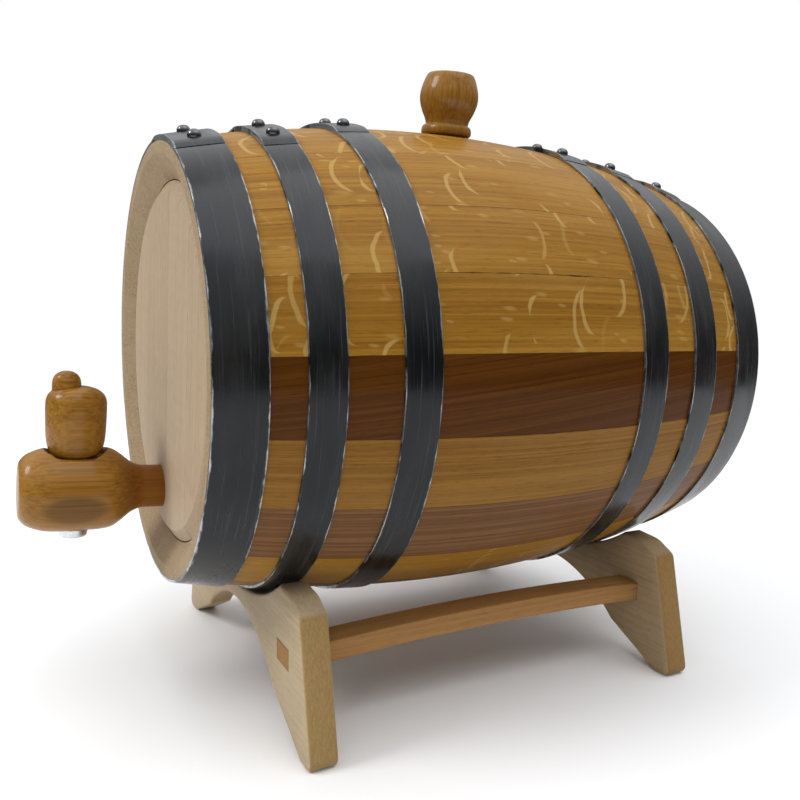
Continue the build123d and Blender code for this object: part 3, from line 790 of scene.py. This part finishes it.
# ---------------------------------------------------------------- stand
PLATE_INNER = 84.5
PLATE_THICKNESS = 12.0
CRADLE_RADIUS = 102.2
HORN_DROP = 84.0
HORN_HALF_WIDTH = 71.0
SHOULDER_HALF_WIDTH = 81.0
SHOULDER_DROP = 90.0
FOOT_HALF_WIDTH = 94.0
FOOT_INNER = 83.0
ARCH_FOOT = 52.0
ARCH_FOOT_HEIGHT = 14.5
ARCH_HEIGHT = 35.0
RAIL_X = 63.2
RAIL_WIDTH = 13.5
RAIL_HEIGHT = 8.6
RAIL_DROP = 111.0
RAIL_BOW = 2.5


def corner(before, point, after, radius, steps=6):
    """Points of an arc that rounds the corner of an outline."""
    a = (Vector(before) - Vector(point)).normalized()
    b = (Vector(after) - Vector(point)).normalized()
    half = a.angle(b) / 2
    reach = radius / math.tan(half)
    centre = Vector(point) + (a + b).normalized() * (radius / math.sin(half))
    first = Vector(point) + a * reach - centre
    last = Vector(point) + b * reach - centre
    made = []
    for k in range(steps + 1):
        step = first.lerp(last, k / steps)
        made.append(tuple(centre + step.normalized() * radius))
    return made


def plate_outline():
    """Right half of an end plate, from the bottom of the cradle round to the top of the arch."""
    horn_x = math.sqrt(CRADLE_RADIUS ** 2 - HORN_DROP ** 2)
    limit = math.atan2(horn_x, HORN_DROP)
    floor = -AXIS_HEIGHT
    cradle = [(CRADLE_RADIUS * math.sin(limit * k / 20), -CRADLE_RADIUS * math.cos(limit * k / 20))
              for k in range(20)]
    horn = (horn_x, -HORN_DROP)
    top = (HORN_HALF_WIDTH, -HORN_DROP - 1.0)
    shoulder = (SHOULDER_HALF_WIDTH, -SHOULDER_DROP)
    foot = (FOOT_HALF_WIDTH, floor)
    heel = (FOOT_INNER, floor)
    arch_foot = (ARCH_FOOT, floor + ARCH_FOOT_HEIGHT)
    outline = cradle + [horn]
    outline += corner(horn, top, shoulder, 12.0)
    outline += corner(top, shoulder, foot, 4.0)
    outline += corner(shoulder, foot, heel, 4.0)
    outline += corner(foot, heel, arch_foot, 6.0)
    rise = ARCH_HEIGHT - ARCH_FOOT_HEIGHT
    arch_radius = (ARCH_FOOT ** 2 + rise ** 2) / (2 * rise)
    reach = math.asin(ARCH_FOOT / arch_radius)
    middle = floor + ARCH_HEIGHT - arch_radius
    turns = [reach * (1 - k / 20) for k in range(21)]
    outline += [(arch_radius * math.sin(turn), middle + arch_radius * math.cos(turn)) for turn in turns]
    return outline


def stand_grain(side):
    """Grain place in an end plate, along X; the two plates differ."""
    def place(point):
        return point.z / MM, point.x / MM, point.y / MM + 40 * side
    return place


def make_plate(name, side):
    """An end plate with the holes for the rails' tenons."""
    right = plate_outline()
    outline = right + [(-x, z) for x, z in right[::-1] if x > 0.01]
    rings = []
    for depth in (0.0, PLATE_THICKNESS):
        y = CENTRE_Y + side * (PLATE_INNER + PLATE_THICKNESS - depth)
        rings.append([Vector((x, y, AXIS_HEIGHT + z)) * MM for x, z in outline])
    piece = loft(name + "_oak", rings)
    round_edges(piece, 1.6, 4, 40)
    for rail_side in (-1, 1):
        slot = rail_piece("slot", rail_side, 0.15, 5.0)
        combine(piece, slot, "DIFFERENCE")
    smooth_faces(piece)
    # The rear plate's lower tone, darker and yellower, is partly painted shade: that plate stands in the barrel's
    # shade.
    set_grain(piece, stand_grain(side), 1.0 if side < 0 else 0.6, 0.0, 0.5 + 0.2 * side)
    finish_piece(piece, "stand", PLATE_OAK, "stand_oak", name)


def rail_piece(name, side, grow, extra):
    """Bowed rail, grown on all sides, with extra length at each end."""
    reach = PLATE_INNER + PLATE_THICKNESS + extra
    half_width = RAIL_WIDTH / 2 + grow
    half_height = RAIL_HEIGHT / 2 + grow
    rings = []
    for k in range(49):
        y = reach * (k / 24 - 1)
        bow = RAIL_BOW * max(0.0, 1 - (y / PLATE_INNER) ** 2)
        rings.append([Vector((side * RAIL_X + x, CENTRE_Y + y, AXIS_HEIGHT - RAIL_DROP + bow + z)) * MM
                      for x, z in ((-half_width, -half_height), (half_width, -half_height),
                                   (half_width, half_height), (-half_width, half_height))])
    return loft(name, rings)


def make_rail(name, side):
    piece = rail_piece(name + "_oak", side, 0.0, 0.1)
    round_edges(piece, 0.6, 2, 40)

    def place(point):
        return point.x / MM, point.y / MM, point.z / MM
    set_grain(piece, place, 1.0, 0.0, 0.37 + 0.3 * side)
    finish_piece(piece, "stand", RAIL_OAK, "stand_oak", name)


# ---------------------------------------------------------------- floor, lights and camera
FLOOR_RADIUS = 1.0
FLOOR_SIDES = 96


def make_stage():
    """Pale round floor, small enough that the barrel's middle mirrors the dim room beyond it."""
    turns = [2 * math.pi * k / FLOOR_SIDES for k in range(FLOOR_SIDES)]
    rim = [(FLOOR_RADIUS * math.cos(turn), FLOOR_RADIUS * math.sin(turn), 0.0) for turn in turns]
    floor = mesh_object("floor", rim, [tuple(range(FLOOR_SIDES))])
    shader = Shader("floor")
    shader.colour((0.90, 0.90, 0.91, 1.0))
    shader.roughness(0.8)
    floor.data.materials.append(shader.material)


def area_light(name, place, target, size, power, colour=(1, 1, 1)):
    data = bpy.data.lights.new(name, "AREA")
    data.shape = "DISK"
    data.size = size
    data.energy = power
    data.color = colour
    light = bpy.data.objects.new(name, data)
    light.location = place
    light.rotation_mode = "QUATERNION"
    light.rotation_quaternion = (Vector(place) - Vector(target)).to_track_quat("Z", "Y")
    bpy.context.scene.collection.objects.link(light)


def make_lights():
    """Soft key from the front left above, a wide top light, and a room bright above and dim around."""
    aim = (0.0, 0.0, 0.13)
    area_light("key", (-0.25, -1.45, 1.35), aim, 0.7, 15.0, (1.0, 0.985, 0.96))
    area_light("top", (0.45, 0.25, 1.6), aim, 1.5, 7.5, (1.0, 0.99, 0.97))
    world = bpy.data.worlds.new("studio")
    world.use_nodes = True
    bpy.context.scene.world = world
    tree = world.node_tree
    back = tree.nodes["Background"]
    back.inputs[0].default_value = (0.96, 0.98, 1.0, 1.0)
    height = tree.nodes.new("ShaderNodeSeparateXYZ")
    tree.links.new(tree.nodes.new("ShaderNodeTexCoord").outputs["Generated"], height.inputs[0])
    ramp = tree.nodes.new("ShaderNodeMapRange")
    ramp.interpolation_type = "SMOOTHSTEP"
    for i, value in enumerate((0.05, 0.85, 0.10, 1.3)):
        ramp.inputs[i + 1].default_value = value
    tree.links.new(height.outputs[2], ramp.inputs[0])
    tree.links.new(ramp.outputs[0], back.inputs[1])
    seen = tree.nodes.new("ShaderNodeBackground")
    seen.inputs[0].default_value = (1.0, 1.0, 1.0, 1.0)
    path = tree.nodes.new("ShaderNodeLightPath")
    mix = tree.nodes.new("ShaderNodeMixShader")
    tree.links.new(path.outputs["Is Camera Ray"], mix.inputs[0])
    tree.links.new(back.outputs[0], mix.inputs[1])
    tree.links.new(seen.outputs[0], mix.inputs[2])
    tree.links.new(mix.outputs[0], tree.nodes["World Output"].inputs[0])
    bpy.context.scene.view_settings.view_transform = "Standard"


CAMERA_AZIMUTH = 62.16
CAMERA_ELEVATION = 7.07
CAMERA_DISTANCE = 398.4
CAMERA_ROLL = 1.26
CAMERA_AIM = (-0.1, -13.1, -20.4)     # from the barrel's centre
CAMERA_LENS = 35.87


def make_camera():
    azimuth, elevation, roll = (math.radians(a) for a in (CAMERA_AZIMUTH, CAMERA_ELEVATION, CAMERA_ROLL))
    back = Vector((math.sin(azimuth) * math.cos(elevation), -math.cos(azimuth) * math.cos(elevation),
                   math.sin(elevation)))
    level = Vector((math.cos(azimuth), math.sin(azimuth), 0.0))
    upright = back.cross(level)
    right = level * math.cos(roll) + upright * math.sin(roll)
    up = upright * math.cos(roll) - level * math.sin(roll)
    aim = Vector(CAMERA_AIM) + Vector((0, CENTRE_Y, AXIS_HEIGHT))
    data = bpy.data.cameras.new("camera")
    data.lens = CAMERA_LENS
    data.sensor_width = 36.0
    data.clip_start = 0.01
    camera = bpy.data.objects.new("camera", data)
    turn = Matrix((right, up, back)).transposed()
    camera.matrix_world = Matrix.Translation((aim + back * CAMERA_DISTANCE) * MM) @ turn.to_4x4()
    bpy.context.scene.collection.objects.link(camera)
    bpy.context.scene.camera = camera


# ---------------------------------------------------------------- build
for number in range(len(SEAM_ANGLES)):
    make_stave(number)
for hoop_name, lap in LAP_ANGLES.items():
    make_hoop(hoop_name, lap)
make_head("front", -1)
make_head("rear", 1)
make_bung()
make_tap_body()
make_tap_key()
make_ferrule()
make_plate("front_cradle", -1)
make_plate("rear_cradle", 1)
make_rail("right_rail", 1)
make_rail("left_rail", -1)

# The pieces that stay as the CAD made them are inside: the heads' dowels and the tap's cork liner.
for node, material in (("front_head_dowels", HEAD_OAK), ("rear_head_dowels", HEAD_OAK),
                       ("tap_cork_liner", CORK)):
    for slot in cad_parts[node].material_slots:
        slot.material = material

make_stage()
make_lights()
make_camera()
